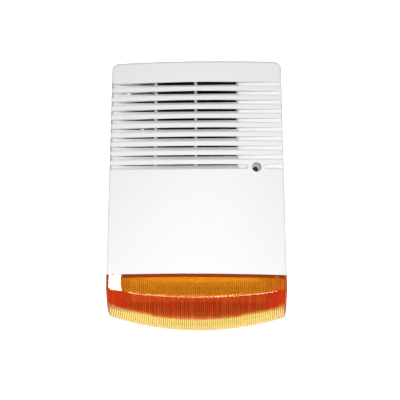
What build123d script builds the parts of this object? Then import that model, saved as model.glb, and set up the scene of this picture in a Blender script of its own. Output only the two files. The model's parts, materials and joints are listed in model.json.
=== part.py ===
from build123d import *
import math
import os

# An outdoor alarm siren for a wall. All lengths are in millimetres.
# Frame: the wall is the plane Y = 0 and the front faces -Y. X runs to the right as
# seen from the front and Z runs up. The origin is the centre of the wall screw pattern.

# Cover
COVER_TOP = 150
COVER_LOW = -91  # lower edge of the cover, at its sides
COVER_ARCH = 2  # rise of that edge at the middle
HALF_TOP = 97
HALF_LOW = 100
COVER_BACK = -2.5
FRONT = -85  # foremost point of the swollen front
BOW = 6  # how far the front falls back at half width HALF_LOW
WALL = 3
EDGE_R = 3
CORNER_R = 8
BOW_R = (HALF_LOW**2 + BOW**2) / (2 * BOW)
TAPER = (HALF_LOW - HALF_TOP) / (COVER_TOP - COVER_LOW)

# Louvres
LOUVRES = 10
LIP_TOP = 119.6  # lower lip of the highest louvre
PITCH = 10.47
MOUTH = 5.6  # height of each opening
RISE = 0.1  # the louvres fall gently towards the front
LOUVRE_FLOOR = -72  # plane at the back of the grooves
BLIND_FLOOR = -77  # the same where the grooves have no slits
BLIND_X = 48
LOUVRE_BACK = -70
END_WALL = 1
SLIT = 3.8  # height of the arched slits at the middle
SLIT_LOW = 6.25  # height of their lower edge over the louvre's lip
SLIT_RISE = 0.36
SLIT_HALF = 91  # half width at which they run out
SLIT_SPANS = [(-93, -48), (-45, -2), (1, 46)]
PAD_SPAN = (58, 76)  # stretch of the lowest louvre that the screw recess fills

# Cover screw, M3.5, and its recess
SCREW_X, SCREW_Z = 67.7, 28
RECESS_R = 5.4
RECESS_FLOOR = -66
BORE_R = 3.4
SHOULDER = -52
TUBE_END = -49
TUBE_R = 8
POST_END = -48
SCREW_R = 1.75
SCREW_LENGTH = 11
INSERT_R = 3
INSERT_LENGTH = 8

# Hinge at the top
HINGE_Y, HINGE_Z = -8, 143.5
PIN_R = 1.5
PIN_GAP = 0.08
HINGE_X = 64
EAR_WIDTH = 5
ARM_WIDTH = 3
ARM_GAP = 0.5
ARM_R = 4
SHADE_SPANS = [(-74, -54), (54, 74)]  # short walls between the top louvres and the hinges
SHADE_Y = (-20, -18)
SHADE_LOW = 129

# Lens: an upright front band and a chin that curves back into the underside
CHIN_MID, CHIN_END = -115, -107  # where the chin starts, at the middle and sides
CHIN_SLOPE = 2.75
CHIN_R = 28  # of the wide curve from the chin into the underside
LENS_MID, LENS_END = -157, -142.7  # underside, at the middle and sides
LENS_WALL = 2.5
SEAM = 0.3  # gap between the cover's lower edge and the lens
LENS_BACK = -2.5
LEDGE = 4
LEDGE_IN = 6  # distance of the ledge's inner face from the outline
FLANGE_TOP = -80
FLANGE_IN, FLANGE_THICK = 3.6, 2.2
FLANGE_BACK = -16
TAB_XS = [-75, -25, 25, 75]
TAB_Z = -74

# Back plate
PLATE = 3
PLATE_GAP = 4.2
PLATE_TOP = 135.5
PLATE_MID, PLATE_END = -146.5, -131
RIM_FRONT = -12
RIM_WALL = 2
SLOT_X, SLOT_Z = 72, 90
SLOT_R, SLOT_LENGTH = 2.5, 9
RAIN_LIP_TOP = 145.5  # the rim and its hood rise this high beside and between the hinges
RAIN_LIP_SPANS = [(-88, -72), (72, 88)]
HOOD_HALF = 52  # a rain hood over the horn, between the hinges
HOOD_FRONT = -30

# Electronics
BOARD_X, BOARD_Z = (-35, 75), (-38, 16)
BOARD_BACK, BOARD_FRONT = -12.4, -14
HOLE_IN = 4
TERMINALS_LEFT, TERMINAL_STEP, TERMINAL_WAYS = -27, 5.08, 8
HORN_X, HORN_Z = -16, 80
HORN_MOUTH_R, HORN_MOUTH = 45, -57
HORN_THROAT_R, HORN_THROAT = 11, -24
DRIVER_R, DRIVER_BACK = 28, -8
BATTERY_X, BATTERY_Y, BATTERY_Z = (-60, 37), (-46.5, -3.5), (-92, -40)
TAB_XS_BATTERY = (-50, 27)
STRAP_SEAT, STRAP_THICK = -11, 1
STROBE_X, STROBE_Z = 86, (-127, -99)
STROBE_BACK, STROBE_FRONT = -24.4, -26
REFLECTOR_FRONT = -34
REFLECTOR_X = 77
LED_XS = [-66, -44, -22, 0, 22, 44, 66]
CABLE_X, CABLE_Z = -75, 0
LEAD_R = 0.9
HEADERS = {"horn": (28, 9), "battery": (47, 9), "strobe": (64, -26)}

# Tamper switches
COVER_TAMPER = (60, 0)
WALL_TAMPER = (60, -62)


def block(x, y, z):
    """A box between the two limits given for each axis."""
    size = [b - a for a, b in (x, y, z)]
    middle = [(a + b) / 2 for a, b in (x, y, z)]
    return Pos(*middle) * Box(*size)


def rod_y(x, z, back, front, radius):
    """A cylinder along Y from back to front, where front is nearer to -Y."""
    return Pos(x, (back + front) / 2, z) * Rot(90, 0, 0) * Cylinder(radius, back - front)


def rod_x(left, right, y, z, radius):
    return Pos((left + right) / 2, y, z) * Rot(0, 90, 0) * Cylinder(radius, right - left)


def rod_z(x, y, low, high, radius):
    return Pos(x, y, (low + high) / 2) * Cylinder(radius, high - low)


def front_prism(face, back, front):
    """Extrudes a face drawn as (X, Z) along Y."""
    return extrude(Plane.XZ.offset(-back) * face, back - front)


def side_prism(face, left, right):
    """Extrudes a face drawn as (Y, Z) along X."""
    return extrude(Plane.YZ.offset(left) * face, right - left)


def half_width(z, inset=0):
    return HALF_LOW - (z - COVER_LOW) * TAPER - inset


def front_y(x, inset=0):
    """Y of the swollen front at x, or of the surface that lies inset behind it."""
    radius = BOW_R - inset
    return FRONT + BOW_R - math.sqrt(radius**2 - x**2)


def bowed_slab(inset, back, low, high):
    """Everything between the swollen front and the plane Y = back."""
    reach = HALF_LOW + 10
    side = front_y(reach, inset)
    front = ThreePointArc((-reach, side), (0, front_y(0, inset)), (reach, side))
    rest = Polyline((reach, side), (reach, back), (-reach, back), (-reach, side))
    return extrude(Plane.XY.offset(low) * make_face([front, rest]), high - low)


def arched_face(points, middle):
    """A face with straight sides through points and an arc through (0, middle)."""
    sides = Polyline(*points)
    if math.isclose(middle, points[0][1]):
        return make_face([sides, Line(points[-1], points[0])])
    return make_face([sides, ThreePointArc(points[-1], (0, middle), points[0])])


def cover_form(inset, back, low, arch):
    """The cover's outline as a solid, with its walls moved inwards by inset."""
    top = COVER_TOP - inset
    face = arched_face(
        [
            (-half_width(low, inset), low),
            (-half_width(top, inset), top),
            (half_width(top, inset), top),
            (half_width(low, inset), low),
        ],
        low + arch,
    )
    face = fillet(face.vertices().group_by(Axis.Y)[-1], CORNER_R - inset)
    return front_prism(face, back, FRONT - 5) & bowed_slab(inset, back, low - 5, top + 5)


def louvre_cut(left, right, lip, floor, rounded=()):
    """One sloping groove. rounded lists the X of each end that is a half circle."""
    start = FRONT - 7
    low = lip + (start - FRONT) * RISE
    radius = MOUTH / 2
    face = Pos((left + right) / 2, low + radius) * Rectangle(right - left, MOUTH)
    for x in rounded:
        face += Pos(x, low + radius) * Circle(radius)
    depth = floor - start
    sketch = Plane.XZ.offset(-start) * face
    return Solid.extrude(sketch.face(), Vector(0, depth, depth * RISE))


def slit_cut(lip):
    """The three openings above the web of one groove, rising towards the back."""
    low = lip + SLIT_LOW - (LOUVRE_FLOOR - FRONT) * SLIT_RISE
    arch = Polyline((-SLIT_HALF, low), (SLIT_HALF, low))
    crown = ThreePointArc((SLIT_HALF, low), (0, low + SLIT), (-SLIT_HALF, low))
    face = make_face([arch, crown])
    depth = LOUVRE_BACK + 1 - FRONT
    cuts = []
    for left, right in SLIT_SPANS:
        span = face & (Pos((left + right) / 2, low + SLIT / 2) * Rectangle(right - left, SLIT * 2))
        sketch = Plane.XZ.offset(-FRONT) * span
        cuts.append(Solid.extrude(sketch.face(), Vector(0, depth, depth * SLIT_RISE)))
    return cuts


def louvre_cuts():
    cuts = []
    for i in range(LOUVRES):
        lip = LIP_TOP - i * PITCH
        reach = half_width(lip, END_WALL)
        cuts.append(louvre_cut(-reach, BLIND_X, lip, LOUVRE_FLOOR))
        if i < LOUVRES - 1:
            cuts.append(louvre_cut(BLIND_X - 1, reach, lip, BLIND_FLOOR))
        else:
            left_end = PAD_SPAN[0] - MOUTH / 2
            right_end = PAD_SPAN[1] + MOUTH / 2
            cuts.append(louvre_cut(BLIND_X - 1, left_end, lip, BLIND_FLOOR, [left_end]))
            cuts.append(louvre_cut(right_end, reach, lip, BLIND_FLOOR, [right_end]))
        cuts += slit_cut(lip)
    return cuts


def mirrored_xs(x, width, gap):
    """The X spans of the two arms beside the ear centred on x."""
    inner = EAR_WIDTH / 2 + gap
    return [(x - inner - width, x - inner), (x + inner, x + inner + width)]


def hinge_arms():
    """Cover arms that hang from the top wall and turn on the hinge pins."""
    arms = []
    for side in (-HINGE_X, HINGE_X):
        for left, right in mirrored_xs(side, ARM_WIDTH, ARM_GAP):
            arm = rod_x(left, right, HINGE_Y, HINGE_Z, ARM_R)
            hanger = (HINGE_Y - ARM_R, HINGE_Y + ARM_R)
            arm += block((left, right), hanger, (HINGE_Z, COVER_TOP - WALL / 2))
            arm -= rod_x(left - 1, right + 1, HINGE_Y, HINGE_Z, PIN_R + PIN_GAP)
            arms.append(arm)
    return arms


def front_cover():
    outer = cover_form(0, COVER_BACK, COVER_LOW, COVER_ARCH)
    face = outer.faces().filter_by(GeomType.CYLINDER).sort_by(Axis.Y)[0]
    rims = face.edges().sort_by(Axis.Z)[1:]
    outer = fillet(rims, EDGE_R)
    hollow = cover_form(WALL, 1, COVER_LOW - 8, 0)
    cover = outer - hollow

    low = LIP_TOP - (LOUVRES - 1) * PITCH - 4
    high = LIP_TOP + SLIT_LOW + SLIT + 4
    inside = cover_form(WALL / 2, LOUVRE_BACK, COVER_LOW, 0)
    cover += inside & block((-110, 110), (-90, 0), (low, high))
    cover += rod_y(SCREW_X, SCREW_Z, TUBE_END, FRONT + 6, TUBE_R)
    tamper_x, tamper_z = COVER_TAMPER
    cover += rod_y(tamper_x, tamper_z, -35.1, FRONT + 5, 3.5)
    for x in TAB_XS:
        cover += rod_y(x, TAB_Z, -73, front_y(x) + 1.5, 4)

    for cut in louvre_cuts():
        cover -= cut
    cover -= rod_y(SCREW_X, SCREW_Z, RECESS_FLOOR, FRONT - 2, RECESS_R)
    cover -= rod_y(SCREW_X, SCREW_Z, SHOULDER, RECESS_FLOOR - 1, BORE_R)
    cover -= rod_y(SCREW_X, SCREW_Z, TUBE_END + 1, SHOULDER - 1, SCREW_R + 0.3)
    for x in TAB_XS:
        cover -= rod_y(x, TAB_Z, -72, -80, 1.45)
    for arm in hinge_arms():
        cover += arm
    for left, right in SHADE_SPANS:
        cover += block((left, right), SHADE_Y, (SHADE_LOW, COVER_TOP - WALL / 2))
    rear_top = cover.edges().filter_by(Axis.X).group_by(Axis.Z)[-1].sort_by(Axis.Y)[-1]
    return fillet([rear_top], 2.5)


def lens_form(inset, back, top):
    """The lens outline as a solid, with its walls moved inwards by inset."""
    reach = HALF_LOW
    start = FRONT - 15
    length = back - start
    lift = inset * math.hypot(1, CHIN_SLOPE)
    mid = CHIN_MID + (FRONT - start) * CHIN_SLOPE + lift
    end = CHIN_END + (FRONT + BOW - start) * CHIN_SLOPE + lift
    high = top + length * CHIN_SLOPE + 5
    chin = arched_face([(-reach, end), (-reach, high), (reach, high), (reach, end)], mid)
    chin_sketch = Plane.XZ.offset(-start) * chin
    above_chin = Solid.extrude(chin_sketch.face(), Vector(0, length, -length * CHIN_SLOPE))
    low_mid, low_end = LENS_MID + inset, LENS_END + inset
    corners = [(-reach, low_end), (-reach, top), (reach, top), (reach, low_end)]
    low = arched_face(corners, low_mid)
    side = HALF_LOW - inset
    form = front_prism(low, back, start) & bowed_slab(inset, back, LENS_MID - 5, top)
    form = form & block((-side, side), (start, back), (LENS_MID - 5, top)) & above_chin
    bend_y = FRONT + (CHIN_MID + lift - low_mid) / CHIN_SLOPE
    bend = form.edges().sort_by_distance((0, bend_y, low_mid))[0]
    return fillet([bend], CHIN_R - inset)


def lens_top_cut():
    """Everything above the cover's arched lower edge."""
    reach = HALF_LOW
    low = COVER_LOW - SEAM
    points = [(-reach, low), (-reach, 0), (reach, 0), (reach, low)]
    return front_prism(arched_face(points, low + COVER_ARCH), 5, FRONT - 20)


def flash_lens():
    outer = lens_form(0, LENS_BACK, COVER_LOW + COVER_ARCH + 5)
    uprights = outer.edges().filter_by(Axis.Z).sort_by(Axis.Y)[:2]
    outer = fillet(uprights, EDGE_R)
    lens = outer - lens_form(LENS_WALL, 5, COVER_LOW + 20)

    ring = outer - lens_form(LEDGE_IN, 5, COVER_LOW + 20)
    lens += ring & block((-110, 110), (-90, FLANGE_BACK), (COVER_LOW - LEDGE, COVER_LOW + 5))
    lens -= lens_top_cut()

    shelf = (COVER_LOW - 1, FLANGE_TOP)
    lip = cover_form(FLANGE_IN, FLANGE_BACK, COVER_LOW - 8, 0)
    lip -= cover_form(FLANGE_IN + FLANGE_THICK, 5, COVER_LOW - 9, 0)
    lens += lip & block((-110, 110), (-90, FLANGE_BACK), shelf)
    for x in TAB_XS:
        front = front_y(x, FLANGE_IN + 1)
        tab = block((x - 5, x + 5), (front, -70.5), (FLANGE_TOP - 6, FLANGE_TOP))
        tab += block((x - 5, x + 5), (-73, -70.5), (FLANGE_TOP - 1, TAB_Z + 5))
        tab -= rod_y(x, TAB_Z, -70, -74, 1.7)
        lens += tab
    return lens


def lens_seal():
    strip = cover_form(WALL + 0.02, FLANGE_BACK, COVER_LOW - 8, 0)
    strip -= cover_form(FLANGE_IN - 0.02, 5, COVER_LOW - 9, 0)
    return strip & block((-110, 110), (-90, FLANGE_BACK), (-88, -83))


def pan_screw(x, z, seat, head_r, head, shank_r, length):
    """A cross-recessed screw whose head stands on the plane Y = seat, facing -Y."""
    screw = rod_y(x, z, seat, seat - head, head_r)
    screw = fillet(screw.edges().sort_by(Axis.Y)[0], head * 0.35)
    screw += rod_y(x, z, seat + length, seat, shank_r)
    for w, h in ((head_r, 0.7), (0.7, head_r)):
        screw -= Pos(x, seat - head, z) * Box(w, head, h)
    return screw


def lens_screws():
    screws = []
    for x in TAB_XS:
        screw = Rot(0, 0, 180) * pan_screw(-x, TAB_Z, 70.5, 2.8, 1.8, 1.45, 7.5)
        screws.append(screw)
    return Compound(screws)


def cover_screw():
    seat = SHOULDER - 1
    screw = pan_screw(SCREW_X, SCREW_Z, seat, 3, 2.4, SCREW_R - 0.05, SCREW_LENGTH)
    return screw


def screw_seal():
    ring = rod_y(SCREW_X, SCREW_Z, SHOULDER, SHOULDER - 1, 3.1)
    return ring - rod_y(SCREW_X, SCREW_Z, SHOULDER + 1, SHOULDER - 2, SCREW_R + 0.02)


def screw_insert():
    back = POST_END + INSERT_LENGTH
    ring = rod_y(SCREW_X, SCREW_Z, back, POST_END, INSERT_R)
    return ring - rod_y(SCREW_X, SCREW_Z, back + 1, POST_END - 1, SCREW_R)


def plate_outline():
    side = HALF_LOW - PLATE_GAP
    top = half_width(PLATE_TOP, PLATE_GAP)
    return arched_face(
        [
            (-side, PLATE_END),
            (-side, COVER_LOW),
            (-top, PLATE_TOP),
            (top, PLATE_TOP),
            (side, COVER_LOW),
            (side, PLATE_END),
        ],
        PLATE_MID,
    )


def board_holes():
    xs = (BOARD_X[0] + HOLE_IN, BOARD_X[1] - HOLE_IN)
    zs = (BOARD_Z[0] + HOLE_IN, BOARD_Z[1] - HOLE_IN)
    return [(x, z) for x in xs for z in zs]


def strobe_holes():
    middle = sum(STROBE_Z) / 2
    return [(-STROBE_X + HOLE_IN, middle), (STROBE_X - HOLE_IN, middle)]


def bracket_holes():
    return [(HORN_X, HORN_Z - 37), (HORN_X, HORN_Z + 37)]


def strap_holes():
    middle = (BATTERY_Z[0] + BATTERY_Z[1]) / 2
    return [(BATTERY_X[0] - 7, middle), (BATTERY_X[1] + 7, middle)]


def hinge_ear(x):
    """A bent arm of the back plate that carries one hinge pin."""
    face = Polygon(
        (-1, 124), (-1, 134), (-6.6, 138.5), (-6.2, 142), (-9.8, 142), (-12, 138), (-12, 124),
        align=None,
    )
    half = EAR_WIDTH / 2
    ear = side_prism(face, x - half, x + half)
    ear += rod_x(x - half, x + half, HINGE_Y, HINGE_Z, 3)
    return ear - rod_x(x - half - 1, x + half + 1, HINGE_Y, HINGE_Z, PIN_R)


def back_plate():
    outline = plate_outline()
    plate = front_prism(outline, 0, -PLATE)
    rim = outline - offset(outline, -RIM_WALL)
    plate += front_prism(rim, -PLATE, RIM_FRONT)
    for left, right in RAIN_LIP_SPANS:
        plate += block((left, right), (RIM_FRONT - 1.5, RIM_FRONT + 0.5), (PLATE_TOP - 2, RAIN_LIP_TOP))
    across = (-HOOD_HALF, HOOD_HALF)
    plate += block(across, (HOOD_FRONT, RIM_FRONT + 0.5), (PLATE_TOP - 2, PLATE_TOP))
    plate += block(across, (HOOD_FRONT, HOOD_FRONT + 1.5), (PLATE_TOP - 2, RAIN_LIP_TOP))
    for x in (-HINGE_X, HINGE_X):
        plate += hinge_ear(x)

    posts = [(x, z, BOARD_BACK, 3.5) for x, z in board_holes()]
    posts += [(x, z, STROBE_BACK, 4) for x, z in strobe_holes()]
    posts += [(x, z, -6.5, 4.5) for x, z in bracket_holes()]
    posts += [(x, z, STRAP_SEAT + STRAP_THICK, 4.5) for x, z in strap_holes()]
    for x, z, front, radius in posts:
        plate += rod_y(x, z, -PLATE, front, radius)
        plate -= rod_y(x, z, -PLATE, front - 1, 1.2)
    plate += rod_y(SCREW_X, SCREW_Z, -PLATE, POST_END, 6)
    plate -= rod_y(SCREW_X, SCREW_Z, POST_END + INSERT_LENGTH, POST_END - 1, INSERT_R)
    plate -= rod_y(SCREW_X, SCREW_Z, POST_END + 16, POST_END, SCREW_R + 0.3)

    shelf_z = (BATTERY_Z[0] - 3, BATTERY_Z[0] - 0.5)
    plate += block((BATTERY_X[0] - 4, BATTERY_X[1] + 4), (-40, -PLATE), shelf_z)

    for x in (-SLOT_X, SLOT_X):
        for z in (-SLOT_Z, SLOT_Z):
            slot = Pos(x, z) * SlotOverall(SLOT_LENGTH, SLOT_R * 2)
            plate -= front_prism(slot, 1, -PLATE - 1)
    plate -= rod_y(CABLE_X, CABLE_Z, 1, -PLATE - 1, 8)
    plate -= rod_y(CABLE_X, CABLE_Z, 1, -1.2, 10)
    wall_x, wall_z = WALL_TAMPER
    plate -= rod_y(wall_x, wall_z, 1, -PLATE - 1, 2.96)
    return plate


def cable_grommet():
    ring = rod_y(CABLE_X, CABLE_Z, -0.1, -1.2, 9.9)
    ring += rod_y(CABLE_X, CABLE_Z, -1, -PLATE - 0.5, 8)
    ring += rod_y(CABLE_X, CABLE_Z, -PLATE, -5, 10)
    ring += Pos(CABLE_X, -7, CABLE_Z) * Rot(90, 0, 0) * Cone(8, 6, 4)
    return ring - rod_y(CABLE_X, CABLE_Z, 1, -10, 4)


def hinge_pins():
    reach = EAR_WIDTH / 2 + ARM_GAP + ARM_WIDTH + 0.5
    return Compound(
        [rod_x(x - reach, x + reach, HINGE_Y, HINGE_Z, PIN_R) for x in (-HINGE_X, HINGE_X)]
    )


def siren_horn():
    """A flared bell with a rolled rim and a flange for its driver."""
    length = HORN_THROAT - HORN_MOUTH
    flare = math.log(HORN_MOUTH_R / HORN_THROAT_R)
    outer = []
    for t in (0, 0.35, 0.65, 0.85, 1):
        outer.append((HORN_THROAT_R * math.exp(flare * t), t * length))
    curve = Spline(*outer)
    inner_end = (HORN_THROAT_R - 2, 0)
    inner = Spline(*[(r - 2, y) for r, y in outer])
    rim = Line(outer[-1], (HORN_MOUTH_R - 2, length))
    base = Line(inner_end, outer[0])
    bell = revolve(make_face([curve, rim, inner, base]), Axis.Y)
    flange = Rot(90, 0, 0) * Cylinder(22, 3)
    flange -= Rot(90, 0, 0) * Cylinder(HORN_THROAT_R - 2, 4)
    bell += Pos(0, 1.5, 0) * flange
    bell += Pos(0, length - 1, 0) * (
        Rot(90, 0, 0) * Cylinder(HORN_MOUTH_R + 2, 2)
        - Rot(90, 0, 0) * Cylinder(HORN_MOUTH_R - 2.5, 3)
    )
    return Pos(HORN_X, HORN_THROAT, HORN_Z) * Rot(180, 0, 0) * bell


def horn_driver():
    can = rod_y(HORN_X, HORN_Z, DRIVER_BACK, HORN_THROAT, DRIVER_R)
    can = fillet(can.edges().sort_by(Axis.Y)[0], 2)
    return can - rod_y(HORN_X, HORN_Z, HORN_THROAT + 3, HORN_THROAT - 1, 8)


def horn_bracket():
    low, high = HORN_Z - 42, HORN_Z + 42
    strap = block((HORN_X - 7, HORN_X + 7), (DRIVER_BACK, -6.5), (low, high))
    for x, z in bracket_holes():
        strap -= rod_y(x, z, 0, -10, 1.8)
    return strap


def screws_at(places, seat, length):
    """One group of identical self-tapping screws with their heads on Y = seat."""
    return Compound([pan_screw(x, z, seat, 2.6, 1.7, 1.2, length) for x, z in places])


def main_board():
    board = block(BOARD_X, (BOARD_FRONT, BOARD_BACK), BOARD_Z)
    for x, z in board_holes():
        board -= rod_y(x, z, 0, -20, 1.7)
    return board


def terminal_block():
    left, step, ways = TERMINALS_LEFT, TERMINAL_STEP, TERMINAL_WAYS
    body = block((left, left + ways * step), (-24, BOARD_FRONT), (-36, -27))
    body -= block((left - 1, left + ways * step + 1), (-25, -21), (-28.5, -26))
    for i in range(ways):
        x = left + (i + 0.5) * step
        body -= rod_y(x, -31.5, -19, -25, 1.9)
        body -= block((x - 1.6, x + 1.6), (-19.5, -16), (-37, -33))
    return body


def terminal_screws():
    screws = []
    for i in range(TERMINAL_WAYS):
        x = TERMINALS_LEFT + (i + 0.5) * TERMINAL_STEP
        screw = rod_y(x, -31.5, -19, -22.5, 1.75)
        screws.append(screw - block((x - 2, x + 2), (-23, -21.8), (-31.8, -31.2)))
    return Compound(screws)


def relay():
    body = block((-33, -16), (-29, BOARD_FRONT), (-24.5, -9.5))
    return fillet(body.edges().sort_by(Axis.Y)[:8], 0.8)


def capacitors():
    cans = []
    for x, z, radius, height in ((-24, 3, 5, 16), (-10, 3, 5, 16), (7, 2, 6.5, 20)):
        can = rod_y(x, z, BOARD_FRONT, BOARD_FRONT - height, radius)
        can = fillet(can.edges().sort_by(Axis.Y)[0], 0.8)
        for w, h in ((radius, 0.4), (0.4, radius)):
            can -= Pos(x, BOARD_FRONT - height, z) * Box(w, 0.6, h)
        cans.append(can)
    return Compound(cans)


def controller_chip():
    body = block((-14, 9), (-18.5, -15), (-19, -12.6))
    body -= rod_y(-14, -15.8, -18, -19, 1)
    for i in range(9):
        x = -12.7 + i * 2.54
        for z0, z1 in ((-20, -19), (-12.6, -11.6)):
            body += block((x - 0.4, x + 0.4), (-17, BOARD_FRONT), (z0, z1))
    return body


def driver_transistors():
    parts = []
    for x in (22, 35):
        body = block((x - 5, x + 5), (-27, -18), (-5, -0.5))
        tab = block((x - 5, x + 5), (-33.5, -18), (-0.5, 0.8))
        tab -= rod_z(x, -30.5, -2, 2, 1.8)
        for dx in (-2.54, 0, 2.54):
            body += block((x + dx - 0.4, x + dx + 0.4), (-18, BOARD_FRONT), (-3, -2.5))
        parts.append(body + tab)
    return Compound(parts)


def boost_coil():
    core = rod_y(49, -28, BOARD_FRONT, -16, 7) + rod_y(49, -28, -26, -28, 7)
    return core + rod_y(49, -28, -16, -26, 5.5)


def lead_headers():
    parts = []
    for x, z in HEADERS.values():
        shroud = block((x - 4, x + 4), (-22, BOARD_FRONT), (z - 3, z + 3))
        parts.append(shroud - block((x - 3.2, x + 3.2), (-23, -16), (z - 2.2, z + 2.2)))
    return Compound(parts)


def battery():
    case = block(BATTERY_X, BATTERY_Y, BATTERY_Z)
    case = fillet(case.edges().filter_by(Axis.Z), 2)
    seam = block((-80, 60), (-60, 0), (BATTERY_Z[1] - 8, BATTERY_Z[1] - 7.4))
    core_x = (BATTERY_X[0] + 0.5, BATTERY_X[1] - 0.5)
    core_y = (BATTERY_Y[0] + 0.5, BATTERY_Y[1] - 0.5)
    return case - (seam - block(core_x, core_y, (-60, -50)))


def battery_tabs():
    top = BATTERY_Z[1]
    return Compound(
        [block((x - 2.4, x + 2.4), (-17.4, -16.6), (top, top + 6)) for x in TAB_XS_BATTERY]
    )


def spade_connectors():
    top = BATTERY_Z[1]
    parts = []
    for x in TAB_XS_BATTERY:
        sleeve = block((x - 3.4, x + 3.4), (-18.6, -15.4), (top + 1, top + 9))
        parts.append(sleeve - block((x - 2.4, x + 2.4), (-17.4, -16.6), (top, top + 6)))
    return Compound(parts)


def battery_strap():
    middle = (BATTERY_Z[0] + BATTERY_Z[1]) / 2
    left, right, front = BATTERY_X[0] - 0.6, BATTERY_X[1] + 0.6, BATTERY_Y[0] - 0.6
    foot = STRAP_SEAT + STRAP_THICK / 2
    profile = [(left - 11, foot), (left, foot), (left, front), (right, front), (right, foot)]
    profile.append((right + 11, foot))
    path = Polyline(*profile)
    band = Pos(0, 0, middle - 7) * extrude(
        make_face(offset(path, STRAP_THICK / 2, side=Side.BOTH)), 14
    )
    for x, z in strap_holes():
        band -= rod_y(x, z, 0, -20, 1.8)
    return band


def strobe_board():
    board = block((-STROBE_X, STROBE_X), (STROBE_FRONT, STROBE_BACK), STROBE_Z)
    for x, z in strobe_holes():
        board -= rod_y(x, z, 0, -30, 1.7)
    return board


def strobe_reflector():
    middle = sum(STROBE_Z) / 2
    high = (STROBE_Z[0] + 1, STROBE_Z[1] + 2)
    tray = block((-REFLECTOR_X, REFLECTOR_X), (REFLECTOR_FRONT, STROBE_FRONT), high)
    tray = fillet(tray.edges().filter_by(Axis.Y), 3)
    for x in LED_XS:
        depth = STROBE_FRONT - REFLECTOR_FRONT
        cup = Pos(x, STROBE_FRONT - depth / 2, middle) * Rot(90, 0, 0) * Cone(4, 9.2, depth)
        tray -= cup
    return tray


def strobe_leds():
    middle = sum(STROBE_Z) / 2
    parts = []
    for x in LED_XS:
        led = rod_y(x, middle, STROBE_FRONT, STROBE_FRONT - 2, 2.5)
        dome = Pos(x, STROBE_FRONT - 2, middle) * Sphere(1.9)
        parts.append(led + dome)
    return Compound(parts)


def spring(x, z, back, front, radius, wire, turns):
    """A compression spring along Y, drawn at its compressed length."""
    length = back - front - 2 * wire
    helix = Helix(pitch=length / turns, height=length, radius=radius)
    section = Plane(origin=helix @ 0, z_dir=helix % 0) * Circle(wire)
    coil = sweep(section, path=helix, is_frenet=True)
    return Pos(x, back - wire, z) * Rot(90, 0, 0) * coil


def cover_tamper_switch():
    x, z = COVER_TAMPER
    case = block((x - 5, x + 5), (-30, BOARD_FRONT), (z - 5, z + 5))
    case = fillet(case.edges().filter_by(Axis.Y), 1)
    case -= rod_y(x, z, -15.5, -28, 3)
    return case - rod_y(x, z, -27, -31, 1.96)


def cover_tamper_plunger():
    x, z = COVER_TAMPER
    plunger = rod_y(x, z, -20.5, -35, 1.9) + rod_y(x, z, -20.5, -22, 2.8)
    return fillet(plunger.edges().sort_by(Axis.Y)[0], 0.8)


def wall_tamper_switch():
    x, z = WALL_TAMPER
    case = block((x - 8, x + 8), (-17, -PLATE), (z - 8, z + 8))
    case = fillet(case.edges().filter_by(Axis.Y), 1)
    return case - rod_y(x, z, -2, -14, 4.5)


def wall_tamper_plunger():
    x, z = WALL_TAMPER
    return rod_y(x, z, 0, -8.5, 2.9) + rod_y(x, z, -6.5, -8.5, 4.2) + rod_y(x, z, -8, -11, 1.4)


def lead(points):
    """A round lead through points, with an arc as large as its two runs allow."""
    vectors = [Vector(*p) for p in points]
    radii = []
    for a, b, c in zip(vectors, vectors[1:], vectors[2:]):
        turn = math.radians((b - a).get_angle(c - b))
        shorter = min((b - a).length, (c - b).length)
        radii.append(0.45 * shorter / math.tan(turn / 2))
    print("lead radii", [round(r, 1) for r in radii])
    path = FilletPolyline(*points, radius=radii)
    section = Plane(origin=path @ 0, z_dir=path % 0) * Circle(LEAD_R)
    return sweep(section, path=path)


def horn_lead(shift):
    """From the driver's side, round in front of the board, down to its header."""
    x = HEADERS["horn"][0] + shift
    z = HEADERS["horn"][1]
    return lead(
        [
            (HORN_X + DRIVER_R, -16 + shift, HORN_Z),
            (22 + shift, -16 + shift, HORN_Z),
            (32 + shift, -26, 64),
            (36 + shift, -38, 44),
            (34 + shift, -42, 28),
            (x + 2, -40, 16),
            (x, -29, z),
            (x, -16, z),
        ]
    )


def battery_lead_red():
    """From the left battery tab, up across the board to the battery header."""
    x, z = HEADERS["battery"]
    start = BATTERY_Z[1] + 9
    return lead(
        [
            (TAB_XS_BATTERY[0], -17, start),
            (TAB_XS_BATTERY[0], -17, start + 10),
            (-48, -25, -14),
            (-42, -35, -2),
            (-28, -42, 10),
            (-8, -46, 20),
            (16, -47, 25),
            (36, -43, 21),
            (x - 2, -30, z),
            (x - 2, -16, z),
        ]
    )


def battery_lead_black():
    """From the right battery tab up to the battery header."""
    x, z = HEADERS["battery"]
    start = BATTERY_Z[1] + 9
    return lead(
        [
            (TAB_XS_BATTERY[1], -17, start),
            (TAB_XS_BATTERY[1], -17, start + 7),
            (28, -24, -18),
            (34, -34, -13),
            (44, -38, -5),
            (48, -36, 3),
            (x + 2, -29, z),
            (x + 2, -16, z),
        ]
    )


def strobe_lead(shift):
    """From the strobe header down beside the battery to the strobe board."""
    x = HEADERS["strobe"][0] + shift
    z = HEADERS["strobe"][1]
    end = STROBE_X - 5 + shift
    return lead(
        [
            (x, -16, z),
            (x, -27, z),
            (x + 1, -33, -38),
            (x - 2, -31, -56),
            (x - 4, -31, -72),
            (x + 6, -30, -83),
            (end - 1, -29, -92),
            (end, -31, -98),
            (end, -31, -104),
            (end, STROBE_FRONT, -105),
        ]
    )


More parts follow.
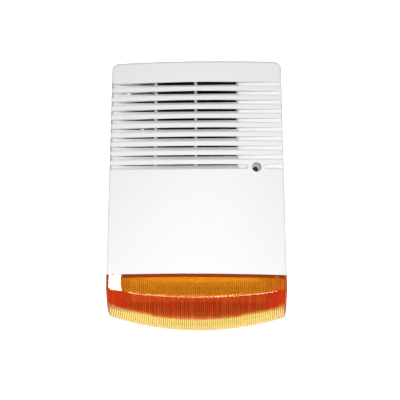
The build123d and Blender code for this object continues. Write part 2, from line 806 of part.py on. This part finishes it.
NODES = {
    "front_cover": front_cover,
    "flash_lens": flash_lens,
    "lens_seal": lens_seal,
    "lens_screws": lens_screws,
    "cover_screw": cover_screw,
    "cover_screw_seal": screw_seal,
    "back_plate": back_plate,
    "screw_insert": screw_insert,
    "hinge_pins": hinge_pins,
    "cable_grommet": cable_grommet,
    "siren_horn": siren_horn,
    "horn_driver": horn_driver,
    "horn_bracket": horn_bracket,
    "horn_screws": lambda: screws_at(bracket_holes(), DRIVER_BACK, 5),
    "main_board": main_board,
    "board_screws": lambda: screws_at(board_holes(), BOARD_FRONT, 7),
    "terminal_block": terminal_block,
    "terminal_screws": terminal_screws,
    "relay": relay,
    "capacitors": capacitors,
    "controller_chip": controller_chip,
    "driver_transistors": driver_transistors,
    "boost_coil": boost_coil,
    "lead_headers": lead_headers,
    "battery": battery,
    "battery_tabs": battery_tabs,
    "spade_connectors": spade_connectors,
    "battery_strap": battery_strap,
    "strap_screws": lambda: screws_at(strap_holes(), STRAP_SEAT, 6),
    "strobe_board": strobe_board,
    "strobe_reflector": strobe_reflector,
    "strobe_leds": strobe_leds,
    "strobe_screws": lambda: screws_at(strobe_holes(), STROBE_FRONT, 7),
    "cover_tamper_switch": cover_tamper_switch,
    "cover_tamper_plunger": cover_tamper_plunger,
    "cover_tamper_spring": lambda: spring(*COVER_TAMPER, -15.5, -20.5, 2.2, 0.3, 3),
    "wall_tamper_switch": wall_tamper_switch,
    "wall_tamper_plunger": wall_tamper_plunger,
    "wall_tamper_spring": lambda: spring(*WALL_TAMPER, -8.5, -14, 3, 0.35, 3),
    "horn_lead_red": lambda: horn_lead(-1.6),
    "horn_lead_black": lambda: horn_lead(1.6),
    "battery_lead_red": battery_lead_red,
    "battery_lead_black": battery_lead_black,
    "strobe_lead_red": lambda: strobe_lead(-1.6),
    "strobe_lead_black": lambda: strobe_lead(1.6),
}

os.makedirs("parts", exist_ok=True)
for name, make in NODES.items():
    export_step(make(), f"parts/{name}.step")
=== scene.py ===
import json
import math

import bmesh
import bpy
from mathutils import Matrix, Vector


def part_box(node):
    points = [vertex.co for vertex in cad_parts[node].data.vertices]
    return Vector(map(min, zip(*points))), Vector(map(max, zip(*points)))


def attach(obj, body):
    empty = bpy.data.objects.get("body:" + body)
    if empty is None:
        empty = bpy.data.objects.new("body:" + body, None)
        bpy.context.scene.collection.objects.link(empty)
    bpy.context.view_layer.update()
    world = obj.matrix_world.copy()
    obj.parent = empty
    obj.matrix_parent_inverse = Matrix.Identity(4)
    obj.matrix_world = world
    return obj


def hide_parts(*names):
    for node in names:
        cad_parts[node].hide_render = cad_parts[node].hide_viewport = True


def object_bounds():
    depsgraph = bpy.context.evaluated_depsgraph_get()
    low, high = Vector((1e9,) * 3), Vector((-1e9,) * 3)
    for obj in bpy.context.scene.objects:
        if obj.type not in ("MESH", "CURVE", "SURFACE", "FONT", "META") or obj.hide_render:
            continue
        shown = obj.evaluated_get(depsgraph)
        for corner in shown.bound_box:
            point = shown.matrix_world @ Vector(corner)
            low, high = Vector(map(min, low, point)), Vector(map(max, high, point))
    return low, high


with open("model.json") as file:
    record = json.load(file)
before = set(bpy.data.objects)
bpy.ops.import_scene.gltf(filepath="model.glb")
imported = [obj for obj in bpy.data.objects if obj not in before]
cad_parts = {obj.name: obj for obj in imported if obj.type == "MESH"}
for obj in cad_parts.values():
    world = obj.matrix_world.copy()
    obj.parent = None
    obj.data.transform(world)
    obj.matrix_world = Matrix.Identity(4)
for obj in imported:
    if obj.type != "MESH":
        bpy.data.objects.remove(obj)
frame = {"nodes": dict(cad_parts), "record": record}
CAD_LOW, CAD_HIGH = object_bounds()
NODES = frame["nodes"]

MM = 0.001
FRONT_Y = CAD_LOW.y
COVER_LOW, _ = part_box("front_cover")
LENS_LOW, LENS_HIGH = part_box("flash_lens")

# --------------------------------------------------------------------------- materials

PATCH_SCALE = 40
BUMP_STRENGTH = 0.35
GLASSY_ROUGHNESS = 0.02
LENS_IOR = 1.58
LENS_DENSITY = 900
LENS_BODY = (0.95, 0.82, 0.0, 1)  # what the plastic lets through, by the thickness crossed
# what the glass and its haze turn to where the shell is darkened most: stain at the corners, painted
# shade elsewhere
STAIN_AND_SHADE_CLEAR, STAIN_AND_SHADE_HAZE = (0.6, 0.1, 0.3), (0.8, 0.1, 0.01)
HAZE = (0.95, 0.72, 0.2)
STREAK_SCALE, STREAK_STRETCH, STREAK_RANGE = 320, (1, 0.02, 0.05), (0.4, 1.6)

def new_material(name):
    """A material with an empty node tree, its Principled shader and its output."""
    material = bpy.data.materials.new(name)
    material.use_nodes = True
    tree = material.node_tree
    tree.nodes.clear()
    shader = tree.nodes.new("ShaderNodeBsdfPrincipled")
    output = tree.nodes.new("ShaderNodeOutputMaterial")
    tree.links.new(shader.outputs["BSDF"], output.inputs["Surface"])
    return material, tree, shader, output


def noise(tree, scale, detail, stretch=(1, 1, 1)):
    """Noise in the object's own metres, so that its grain keeps its real size."""
    place = tree.nodes.new("ShaderNodeTexCoord")
    mapping = tree.nodes.new("ShaderNodeMapping")
    mapping.inputs["Scale"].default_value = stretch
    texture = tree.nodes.new("ShaderNodeTexNoise")
    texture.inputs["Scale"].default_value = scale
    texture.inputs["Detail"].default_value = detail
    tree.links.new(place.outputs["Object"], mapping.inputs["Vector"])
    tree.links.new(mapping.outputs["Vector"], texture.inputs["Vector"])
    return texture.outputs["Fac"]


def spread(tree, value, low, high):
    """Maps a 0 to 1 value onto low to high."""
    node = tree.nodes.new("ShaderNodeMapRange")
    node.inputs["To Min"].default_value = low
    node.inputs["To Max"].default_value = high
    tree.links.new(value, node.inputs["Value"])
    return node.outputs["Result"]


def blend_colours(tree, value, first, second):
    node = tree.nodes.new("ShaderNodeMix")
    node.data_type = "RGBA"
    node.inputs["A"].default_value = (*first, 1)
    node.inputs["B"].default_value = (*second, 1)
    tree.links.new(value, node.inputs["Factor"])
    return node.outputs["Result"]


def bump(tree, shader, value, strength, distance):
    node = tree.nodes.new("ShaderNodeBump")
    node.inputs["Strength"].default_value = strength
    node.inputs["Distance"].default_value = distance
    tree.links.new(value, node.inputs["Height"])
    tree.links.new(node.outputs["Normal"], shader.inputs["Normal"])


def surface(name, colour, rough, grain, depth, tone, metal=0.0):
    """A moulded or drawn surface: slightly uneven colour and gloss over a fine grain.

    rough is its roughness, grain how fine its grain is, depth how deep in millimetres,
    and tone how much darker its darkest patches are.
    """
    material, tree, shader, _ = new_material(name)
    patches = noise(tree, PATCH_SCALE, 4)
    dark = [c * (1 - tone) for c in colour]
    tree.links.new(blend_colours(tree, patches, dark, colour), shader.inputs["Base Color"])
    fine = noise(tree, grain, 3)
    tree.links.new(spread(tree, fine, rough * 0.8, rough * 1.2), shader.inputs["Roughness"])
    bump(tree, shader, fine, BUMP_STRENGTH, depth * MM)
    shader.inputs["Metallic"].default_value = metal
    return material


def point_value(tree, name):
    """A number stored on the mesh's points; zero where the mesh has none."""
    node = tree.nodes.new("ShaderNodeAttribute")
    node.attribute_name = name
    return node.outputs["Fac"]


def multiply(tree, a, b):
    node = tree.nodes.new("ShaderNodeMath")
    node.operation = "MULTIPLY"
    tree.links.new(a, node.inputs[0])
    tree.links.new(b, node.inputs[1])
    return node.outputs[0]


def mix_shaders(tree, factor, first, second):
    node = tree.nodes.new("ShaderNodeMixShader")
    tree.links.new(factor, node.inputs["Fac"])
    tree.links.new(first, node.inputs[1])
    tree.links.new(second, node.inputs[2])
    return node.outputs["Shader"]


def amber_lens():
    """Clear amber plastic: pale where thin, red where light travels far in it.

    The shell's points say how far its faces are darkened, by a real stain at the rounded corners and
    by painted shade in the rib valleys, on the upper chin, towards the ends and on the ledge, and
    where they scatter (cloud). Lamps pass through it coloured, so that the inside is lit.
    """
    material, tree, shader, output = new_material("amber_lens")
    shader.inputs["Roughness"].default_value = GLASSY_ROUGHNESS
    shader.inputs["IOR"].default_value = LENS_IOR
    shader.inputs["Transmission Weight"].default_value = 1.0
    streaks = spread(tree, noise(tree, STREAK_SCALE, 2, STREAK_STRETCH), *STREAK_RANGE)
    # stain at the corners and painted shade elsewhere, broken into random vertical streaks
    streaked_stain_and_shade = multiply(tree, point_value(tree, "stain_and_shade"), streaks)
    colour = blend_colours(tree, streaked_stain_and_shade, (1, 1, 1), STAIN_AND_SHADE_CLEAR)
    tree.links.new(colour, shader.inputs["Base Color"])
    haze = tree.nodes.new("ShaderNodeBsdfDiffuse")
    tree.links.new(blend_colours(tree, streaked_stain_and_shade, HAZE, STAIN_AND_SHADE_HAZE), haze.inputs["Color"])
    solid = mix_shaders(tree, point_value(tree, "cloud"), shader.outputs["BSDF"], haze.outputs["BSDF"])
    clear = tree.nodes.new("ShaderNodeBsdfTransparent")
    tree.links.new(colour, clear.inputs["Color"])
    path = tree.nodes.new("ShaderNodeLightPath")
    seen = mix_shaders(tree, path.outputs["Is Shadow Ray"], solid, clear.outputs["BSDF"])
    tree.links.new(seen, output.inputs["Surface"])
    absorb = tree.nodes.new("ShaderNodeVolumeAbsorption")
    absorb.inputs["Color"].default_value = LENS_BODY
    absorb.inputs["Density"].default_value = LENS_DENSITY
    tree.links.new(absorb.outputs["Volume"], output.inputs["Volume"])
    return material


# colour, roughness, grain, depth, tone and, on metals, 1
SURFACES = {
    "cover_white": ((0.845, 0.84, 0.84), 0.45, 1500, 0.004, 0.01),
    # plate_black: the back plate is near black, painted shade standing in for the unlit inside seen
    # through the louvre slits
    "plate_black": ((0.022, 0.021, 0.026), 0.5, 1200, 0.01, 0.1),
    "rubber_black": ((0.02, 0.02, 0.02), 0.6, 800, 0.03, 0.2),
    "steel_zinc": ((0.62, 0.63, 0.65), 0.3, 700, 0.01, 0.1, 1.0),
    "steel_black": ((0.05, 0.05, 0.055), 0.35, 700, 0.01, 0.1, 1.0),
    "brass": ((0.7, 0.48, 0.2), 0.28, 700, 0.01, 0.1, 1.0),
    "horn_black": ((0.012, 0.012, 0.014), 0.35, 900, 0.015, 0.1),
    "driver_black": ((0.02, 0.02, 0.022), 0.3, 900, 0.015, 0.1),
    "board_green": ((0.01, 0.16, 0.06), 0.3, 900, 0.01, 0.2),
    "terminal_blue": ((0.02, 0.12, 0.42), 0.4, 900, 0.01, 0.1),
    "relay_blue": ((0.03, 0.14, 0.4), 0.3, 900, 0.01, 0.1),
    "capacitor_sleeve": ((0.02, 0.025, 0.07), 0.25, 600, 0.01, 0.1),
    "chip_black": ((0.015, 0.015, 0.015), 0.45, 900, 0.02, 0.1),
    "coil_copper": ((0.5, 0.14, 0.03), 0.25, 600, 0.05, 0.2),
    "header_cream": ((0.72, 0.68, 0.55), 0.4, 900, 0.01, 0.05),
    "battery_case": ((0.035, 0.035, 0.04), 0.45, 900, 0.03, 0.1),
    "reflector_white": ((0.9, 0.9, 0.88), 0.3, 900, 0.006, 0.02),
    "led_clear": ((0.9, 0.85, 0.6), 0.1, 500, 0.005, 0.05),
    "switch_black": ((0.02, 0.02, 0.02), 0.4, 900, 0.02, 0.1),
    "plunger_white": ((0.78, 0.78, 0.74), 0.35, 900, 0.01, 0.03),
    "spring_steel": ((0.5, 0.5, 0.52), 0.25, 700, 0.01, 0.1, 1.0),
    "lead_red": ((0.5, 0.01, 0.01), 0.3, 700, 0.01, 0.1),
    "lead_black": ((0.012, 0.012, 0.012), 0.3, 700, 0.01, 0.1),
}


def make_materials():
    materials = {name: surface(name, *look) for name, look in SURFACES.items()}
    materials["lens_amber"] = amber_lens()
    return materials


MATERIALS = make_materials()


def dress_cad_nodes():
    """Every shown CAD node takes the material of its own slot."""
    for sub in frame["record"]["subparts"]:
        node = NODES[sub["node"]]
        for place in node.material_slots:
            place.material = MATERIALS[sub["material_slot"]]


# --------------------------------------------------------------------------- the lens

RIB_PITCH = 2.1 * MM
RIB_HEIGHT = 0.75 * MM
RIB_SHAPE = 0.8  # power of the sine that the ribs follow; lower is fuller
COLUMNS_PER_RIB = 8
BEND_STEPS = 16
BEND_ROWS = range(7, 20)  # rows of the inner section that cross the bend
RIB_ROWS = range(20, 32)  # ribbed rows of the chin and the front
LEDGE_ROWS = range(32, 36)
CHIN_PLACES = (0.15, 0.3, 0.45, 0.6, 0.75, 0.9)  # shares of the way up the chin
FRONT_PLACES = (0.12, 0.4, 0.7, 0.88)  # and up the front
# painted shade on the ledge at the top of the lens, under the cover's edge
LEDGE_PAINTED_SHADE = 0.3
# painted shade: how far the upper chin is darkened for the shaded inside seen through it, and how far
# the valleys between the ribs are darkened
CHIN_PAINTED_SHADE, VALLEY_PAINTED_SHADE = 0.86, 0.36
RIB_CLOUD, CHIN_CLOUD, CORNER_CLOUD, LEDGE_CLOUD = 0.3, 0.24, 0.6, 0.4
END_PAINTED_SHADE, END_CLOUD = 0.35, 0.35  # painted shade and haze, reached by degrees towards the sides, where the reflector ends
END_START, END_FADE = 72 * MM, 20 * MM
LENS_WALL = 2.5 * MM
UNDER_WALL = 1.2 * MM
CORNER = 3 * MM
CORNER_ANGLES = (25, 45, 60, 75, 85, 90)
CREASE = 9 * MM  # radius where the front turns into the chin
CHIN_BEND = 28 * MM  # radius where the chin curves into the underside
HALF = LENS_HIGH.x
BOW = 6 * MM
BOW_RADIUS = (HALF**2 + BOW**2) / (2 * BOW)
SEAM = 0.3 * MM
GAP = 0.05 * MM  # kept between the shell and the flange
RIM_SIDE = COVER_LOW.z - SEAM
RIM_ARCH = 2 * MM
CHIN_SIDE = RIM_SIDE - 15.7 * MM
CHIN_MIDDLE = RIM_SIDE - 23.7 * MM
CHIN_SLOPE = 2.75
UNDER_MIDDLE = LENS_LOW.z
UNDER_SIDE = UNDER_MIDDLE + 14.3 * MM
# heights, in the middle and at the sides, where the painted shade on the upper chin ends
CHIN_SHADE_MIDDLE = UNDER_MIDDLE + 17 * MM
CHIN_SHADE_SIDE = UNDER_SIDE + 22 * MM
LEDGE = 3.7 * MM
FLANGE = (3.6 * MM, 5.8 * MM)  # the flange stands between these depths behind the front
FLANGE_CUT = COVER_LOW.z + 2.1 * MM  # the shell ends here, and the CAD lens's flange goes on above
CUT_LEFT, CUT_RIGHT = -0.11, 0.11  # ends of the boxes that cut the flange, well clear of the lens
CUT_FRONT, CUT_BACK = -0.1, 0.01
CUT_LOW = -0.2


def arc_height(x, middle, side):
    """Height at x on the circle through (0, middle) and (HALF, side)."""
    rise = side - middle
    radius = (HALF**2 + rise**2) / (2 * rise)
    return middle + radius - math.copysign(math.sqrt(radius**2 - x**2), radius)


def front_y(x):
    return FRONT_Y + BOW_RADIUS - math.sqrt(BOW_RADIUS**2 - x**2)


def meet(p, d, q, e):
    """Where the line through p along d meets the line through q along e, in a plane."""
    cross = d[0] * e[1] - d[1] * e[0]
    t = ((q[0] - p[0]) * e[1] - (q[1] - p[1]) * e[0]) / cross
    return Vector((p[0] + d[0] * t, p[1] + d[1] * t))


def rounded(before, corner, after, radius, steps=5):
    """Points of the arc that rounds corner between its two neighbours, and its centre."""
    a, b = (before - corner).normalized(), (after - corner).normalized()
    half = a.angle(b) / 2
    reach = radius / math.tan(half)
    centre = corner + (a + b).normalized() * radius / math.sin(half)
    start, end = corner + a * reach - centre, corner + b * reach - centre
    turn = start.angle_signed(end)
    points = [centre + Matrix.Rotation(-turn * i / steps, 2) @ start for i in range(steps + 1)]
    return points, centre


def lens_section(x, depth, under_depth):
    """The lens outline at x, (Y, Z) from its rim down the front, chin and underside."""
    slope = Vector((1, -CHIN_SLOPE)).normalized()
    inward = Vector((CHIN_SLOPE, 1)).normalized()
    front = front_y(x)
    rim = Vector((front + depth, arc_height(x, RIM_SIDE + RIM_ARCH, RIM_SIDE)))
    chin = Vector((front, chin_height(x))) + inward * depth
    under = Vector((0, arc_height(x, UNDER_MIDDLE, UNDER_SIDE) + under_depth))
    first = meet(rim, (0, 1), chin, slope)
    second = meet(chin, slope, under, (1, 0))
    back = Vector((LENS_HIGH.y, under.y))
    return rim, first, second, back


def chin_height(x):
    """Where the chin starts at x. It is drawn by one arc moved along the chin's slope."""
    ahead = 15 * MM
    start = FRONT_Y - ahead
    middle = CHIN_MIDDLE + (FRONT_Y - start) * CHIN_SLOPE
    side = CHIN_SIDE + (FRONT_Y + BOW - start) * CHIN_SLOPE
    return arc_height(x, middle, side) - (front_y(x) - start) * CHIN_SLOPE


def between(a, b, steps):
    return [a.lerp(b, i / steps) for i in range(1, steps)]


def outer_section(x):
    """Points down the outside, drawn in as the corner rounds off towards the sides."""
    over = max(abs(x) - (HALF - CORNER), 0)
    depth = CORNER - math.sqrt(max(CORNER**2 - over**2, 0))
    rim, first, second, back = lens_section(x, depth, depth)
    crease, _ = rounded(rim, first, second, CREASE)
    bend, _ = rounded(first, second, back, CHIN_BEND - depth, 12)
    return [
        rim,
        *between(rim, crease[0], 4),
        *crease,
        *between(crease[-1], bend[0], 4),
        *bend,
        *between(bend[-1], back, 4),
        back,
    ]


def rib(x):
    """How far the ribs stand proud at x, from 0 to RIB_HEIGHT."""
    return RIB_HEIGHT * abs(math.sin(math.pi * x / RIB_PITCH)) ** RIB_SHAPE


def inner_section(x):
    """Points up the inside: underside, ribbed chin and front, ledge and flange."""
    rim, first, second, back = lens_section(x, LENS_WALL, UNDER_WALL)
    ledge = Vector((front_y(x) + FLANGE[1], rim.y - LEDGE))
    under_ledge = Vector((rim.x, ledge.y))
    proud = rib(x)
    arc, centre = rounded(back, second, first, CHIN_BEND - LENS_WALL, BEND_STEPS)
    bend = []
    for i, p in enumerate(arc):
        fade = i / BEND_STEPS
        bend.append(p + (centre - p).normalized() * proud * fade)
    inward = Vector((CHIN_SLOPE, 1)).normalized() * proud
    chin = [arc[-1].lerp(first, t) + inward for t in CHIN_PLACES]
    front = [first.lerp(under_ledge, t) + Vector((proud, 0)) for t in FRONT_PLACES]
    top = Vector((ledge.x, FLANGE_CUT - GAP))
    lip = Vector((front_y(x) + FLANGE[0], top.y))
    return [
        back,
        *between(back, arc[0], 4),
        *bend,
        *chin,
        first + Vector((proud, 0)),
        *front,
        under_ledge,
        ledge,
        top,
        lip,
        Vector((lip.x, rim.y)),
    ]


def chin_shade_end(x):
    """Height at which the painted shade on the upper part of the chin ends."""
    return arc_height(x, CHIN_SHADE_MIDDLE, CHIN_SHADE_SIDE)


def columns(reach, step):
    count = round(2 * reach / step)
    return [-reach + 2 * reach * i / count for i in range(count + 1)]


def side_columns():
    """Places across the rounded corner, outwards from the side wall's inner face."""
    xs = [HALF - CORNER * (1 - math.sin(math.radians(a))) for a in CORNER_ANGLES]
    return [x for x in xs if x > HALF - LENS_WALL]


def add_column(points, x, section):
    """Adds a section's points at x and gives their numbers."""
    start = len(points)
    points.extend((x, y, z) for y, z in section)
    return list(range(start, len(points)))


def grid_faces(grid):
    """Faces between neighbouring columns."""
    pairs = zip(grid, grid[1:])
    return [(a[i], a[i + 1], b[i + 1], b[i]) for a, b in pairs for i in range(len(a) - 1)]


def edge_faces(outer, inner):
    """Strips that join the outside to the inside along the rim and the back."""
    faces = []
    for (a, b), (c, d) in zip(zip(outer, outer[1:]), zip(inner, inner[1:])):
        faces.append((a[0], b[0], d[-1], c[-1]))
        faces.append((b[-1], a[-1], c[0], d[0]))
    return faces


def side_faces(points, side, run, end):
    """One side wall. run holds the outside's columns from the wall inwards, end the inside's last."""
    wall = run[0]
    rim_z = points[wall[0]][2]
    back_top = add_column(points, side * HALF, [(LENS_HIGH.y, rim_z)])[0]
    inner_top = add_column(points, side * (HALF - LENS_WALL), [(LENS_HIGH.y, rim_z)])[0]
    faces = [(*wall, back_top), (*end, inner_top)]
    for a, b in zip(run, run[1:]):
        faces.append((a[0], b[0], end[-1]))
        faces.append((a[-1], b[-1], end[0]))
    faces.append((wall[0], end[-1], inner_top, back_top))
    faces.append((wall[-1], back_top, inner_top, end[0]))
    return faces


def paint_inside(mesh, points, x, column):
    """Painted shade and haze of the inside at x: shade in the valleys, towards the ends, on the chin
    and the ledge; haze on the ribs, towards the ends, on the chin and the ledge.
    """
    stain_and_shade, cloud = mesh.attributes["stain_and_shade"].data, mesh.attributes["cloud"].data
    valley = 1 - rib(x) / RIB_HEIGHT
    end = min(max((abs(x) - END_START) / END_FADE, 0), 1)
    for i in BEND_ROWS:
        stain_and_shade[column[i]].value = valley * VALLEY_PAINTED_SHADE / 2
    for i in RIB_ROWS:
        stain_and_shade[column[i]].value = valley * VALLEY_PAINTED_SHADE + end * END_PAINTED_SHADE
        cloud[column[i]].value = (1 - valley) * RIB_CLOUD + end * END_CLOUD
        if chin_shade_end(x) < points[column[i]][2] < chin_height(x) + MM:
            stain_and_shade[column[i]].value += CHIN_PAINTED_SHADE
            cloud[column[i]].value += CHIN_CLOUD
    for i in LEDGE_ROWS:
        stain_and_shade[column[i]].value = LEDGE_PAINTED_SHADE
        cloud[column[i]].value = LEDGE_CLOUD


def paint_corner(mesh, column):
    stain_and_shade, cloud = mesh.attributes["stain_and_shade"].data, mesh.attributes["cloud"].data
    for i in column:
        stain_and_shade[i].value = 1
        cloud[i].value = CORNER_CLOUD


def make_lens():
    """One closed shell: a smooth outside, a ribbed inside and plain side walls."""
    inside_xs = columns(HALF - LENS_WALL, RIB_PITCH / COLUMNS_PER_RIB)
    corner_xs = side_columns()
    outside_xs = [-x for x in reversed(corner_xs)] + inside_xs + corner_xs
    left, right = len(corner_xs), len(outside_xs) - len(corner_xs)
    points = []
    outer = [add_column(points, x, outer_section(x)) for x in outside_xs]
    inner = [add_column(points, x, inner_section(x)) for x in inside_xs]
    faces = grid_faces(outer) + grid_faces(inner) + edge_faces(outer[left:right], inner)
    faces += side_faces(points, -1, outer[: left + 1], inner[0])
    faces += side_faces(points, 1, outer[right - 1 :][::-1], inner[-1])
    mesh = bpy.data.meshes.new("lens_shell")
    mesh.from_pydata(points, [], faces)
    mesh.attributes.new("stain_and_shade", "FLOAT", "POINT")
    mesh.attributes.new("cloud", "FLOAT", "POINT")
    for x, column in zip(inside_xs, inner):
        paint_inside(mesh, points, x, column)
    for column in outer[:left] + outer[right:]:
        paint_corner(mesh, column)
    return mesh


def box_mesh(bm, low, high):
    xs, ys, zs = zip(low, high)
    corners = [bm.verts.new((x, y, z)) for x in xs for y in ys for z in zs]
    for face in ((0, 1, 3, 2), (4, 6, 7, 5), (0, 4, 5, 1), (2, 3, 7, 6), (0, 2, 6, 4), (1, 5, 7, 3)):
        bm.faces.new([corners[i] for i in face])


def new_object(name, mesh, material, body):
    piece = bpy.data.objects.new(name, mesh)
    bpy.context.scene.collection.objects.link(piece)
    piece.data.materials.clear()
    piece.data.materials.append(material)
    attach(piece, body)
    return piece


def consistent(mesh):
    """Faces all turned outwards."""
    bm = bmesh.new()
    bm.from_mesh(mesh)
    bmesh.ops.recalc_face_normals(bm, faces=bm.faces)
    bm.to_mesh(mesh)
    bm.free()


def shade_by_angle(mesh, degrees):
    mesh.shade_smooth()
    bm = bmesh.new()
    bm.from_mesh(mesh)
    for edge in bm.edges:
        edge.smooth = len(edge.link_faces) == 2 and edge.calc_face_angle() < math.radians(degrees)
    bm.to_mesh(mesh)
    bm.free()


def cut_by_boxes(piece, boxes):
    """Takes boxes, given as low and high corners, out of a piece's mesh."""
    bm = bmesh.new()
    for low, high in boxes:
        box_mesh(bm, low, high)
    cutter_mesh = bpy.data.meshes.new("cutter")
    bmesh.ops.recalc_face_normals(bm, faces=bm.faces)
    bm.to_mesh(cutter_mesh)
    bm.free()
    cutter = bpy.data.objects.new("cutter", cutter_mesh)
    bpy.context.scene.collection.objects.link(cutter)
    modifier = piece.modifiers.new("cut", "BOOLEAN")
    modifier.operation = "DIFFERENCE"
    modifier.solver = "EXACT"
    modifier.use_self = True
    modifier.object = cutter
    graph = bpy.context.evaluated_depsgraph_get()
    shape = bpy.data.meshes.new_from_object(piece.evaluated_get(graph))
    piece.modifiers.clear()
    piece.data = shape
    bpy.data.objects.remove(cutter)


def make_flange():
    """The ring and screw tabs that hold the lens inside the cover, from the CAD lens."""
    node = NODES["flash_lens"]
    piece = new_object("lens_flange", node.data.copy(), MATERIALS["lens_amber"], "cover")
    side = HALF - (LENS_WALL + GAP)
    behind = FRONT_Y + BOW + FLANGE[1] + SEAM
    corner = (CUT_LEFT, CUT_FRONT, CUT_LOW)
    cut_by_boxes(piece, [
        (corner, (CUT_RIGHT, CUT_BACK, RIM_SIDE - LEDGE)),
        (corner, (CUT_RIGHT, behind, FLANGE_CUT)),
        (corner, (-side, CUT_BACK, FLANGE_CUT)),
        ((side, CUT_FRONT, CUT_LOW), (CUT_RIGHT, CUT_BACK, FLANGE_CUT)),
    ])
    shade_by_angle(piece.data, 30)
    return piece


def lens():
    mesh = make_lens()
    consistent(mesh)
    shade_by_angle(mesh, 35)
    shell = new_object("lens_shell", mesh, MATERIALS["lens_amber"], "cover")
    flange = make_flange()
    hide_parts("flash_lens")


# --------------------------------------------------------------------------- the studio

STAGE_HALF = 3
FLOOR_Z = -0.75
FLOOR_NEAR, FLOOR_JOIN = -1.6, 0.6
BACK_Y, BACK_BEND, BACK_TOP = 1.9, 0.6, 2.6
BEND_PARTS = 16

def soft_lamp(name, place, target, size, power, colour=(1, 1, 1)):
    data = bpy.data.lights.new(name, "AREA")
    data.shape = "RECTANGLE"
    data.size, data.size_y = size
    data.energy = power
    data.color = colour
    lamp = bpy.data.objects.new(name, data)
    lamp.location = place
    lamp.rotation_euler = (Vector(target) - Vector(place)).to_track_quat("-Z", "Y").to_euler()
    bpy.context.scene.collection.objects.link(lamp)
    return lamp


def stage_sheet(name, profile, material):
    """A sheet that follows a (Y, Z) profile across the studio."""
    points = [(x, y, z) for x in (-STAGE_HALF, STAGE_HALF) for y, z in profile]
    count = len(profile)
    faces = [(i, i + 1, i + 1 + count, i + count) for i in range(count - 1)]
    mesh = bpy.data.meshes.new(name)
    mesh.from_pydata(points, [], faces)
    mesh.shade_smooth()
    mesh.materials.append(material)
    sheet = bpy.data.objects.new(name, mesh)
    bpy.context.scene.collection.objects.link(sheet)
    return sheet


def sweep():
    """A pale floor and the backdrop it curves up into, well clear of the object."""
    material, _, shader, _ = new_material("studio_white")
    shader.inputs["Base Color"].default_value = (0.9, 0.9, 0.9, 1)
    shader.inputs["Roughness"].default_value = 0.9
    shader.inputs["Emission Color"].default_value = (1, 1, 1, 1)
    shader.inputs["Emission Strength"].default_value = 1.0
    centre_y, centre_z = BACK_Y - BACK_BEND, FLOOR_Z + BACK_BEND
    curve = []
    for i in range(BEND_PARTS + 1):
        turn = math.radians(90 * i / BEND_PARTS)
        curve.append((centre_y + BACK_BEND * math.sin(turn), centre_z - BACK_BEND * math.cos(turn)))
    floor = stage_sheet("studio_floor", [(FLOOR_NEAR, FLOOR_Z), (FLOOR_JOIN, FLOOR_Z)], material)
    floor.visible_glossy = False
    floor.visible_diffuse = False
    floor.visible_transmission = False
    backdrop = [(FLOOR_JOIN, FLOOR_Z), *curve, (BACK_Y, BACK_TOP)]
    stage_sheet("studio_backdrop", backdrop, material)


def surroundings(strength):
    """A faint cool glow all round, which the camera itself sees as plain white."""
    world = bpy.data.worlds.new("studio")
    bpy.context.scene.world = world
    world.use_nodes = True
    tree = world.node_tree
    tree.nodes.clear()
    output = tree.nodes.new("ShaderNodeOutputWorld")
    glow = tree.nodes.new("ShaderNodeBackground")
    glow.inputs["Color"].default_value = (0.88, 0.9, 1, 1)
    glow.inputs["Strength"].default_value = strength
    seen = tree.nodes.new("ShaderNodeBackground")
    seen.inputs["Color"].default_value = (1, 1, 1, 1)
    path = tree.nodes.new("ShaderNodeLightPath")
    to_camera = path.outputs["Is Camera Ray"]
    mixed = mix_shaders(tree, to_camera, glow.outputs["Background"], seen.outputs["Background"])
    tree.links.new(mixed, output.inputs["Surface"])


def studio():
    sweep()
    surroundings(0.14)
    soft_lamp("left_softbox", (-0.56, -1.1, -0.2), (0, -0.05, 0), (0.08, 0.16), 1.2)
    soft_lamp("front_softbox", (0.02, -1.2, 0.1), (0, 0, 0), (0.7, 0.36), 4.9)
    soft_lamp("low_softbox", (0, -1.1, -0.46), (0, 0, 0), (1, 0.25), 5.5)
    glow = soft_lamp("floor_glow", (0, 0.1, -0.5), (0, 0.1, 0), (1.2, 0.9), 6)
    glow.visible_transmission = False
    soft_lamp("right_fill", (1.0, -0.9, 0.1), (0, 0, 0.05), (0.8, 1), 1.6, (0.9, 0.93, 1))
    view = bpy.context.scene.view_settings
    view.view_transform = "Standard"
    view.look = "None"


def camera():
    data = bpy.data.cameras.new("camera")
    data.sensor_width = 36
    data.lens = 40.64
    data.clip_start = 0.01
    eye = bpy.data.objects.new("camera", data)
    eye.location = (0.0215, -0.58, -0.054)
    eye.rotation_euler = (math.radians(95.2), 0, math.radians(1.935))
    bpy.context.scene.collection.objects.link(eye)
    bpy.context.scene.camera = eye


camera()
studio()
dress_cad_nodes()
lens()
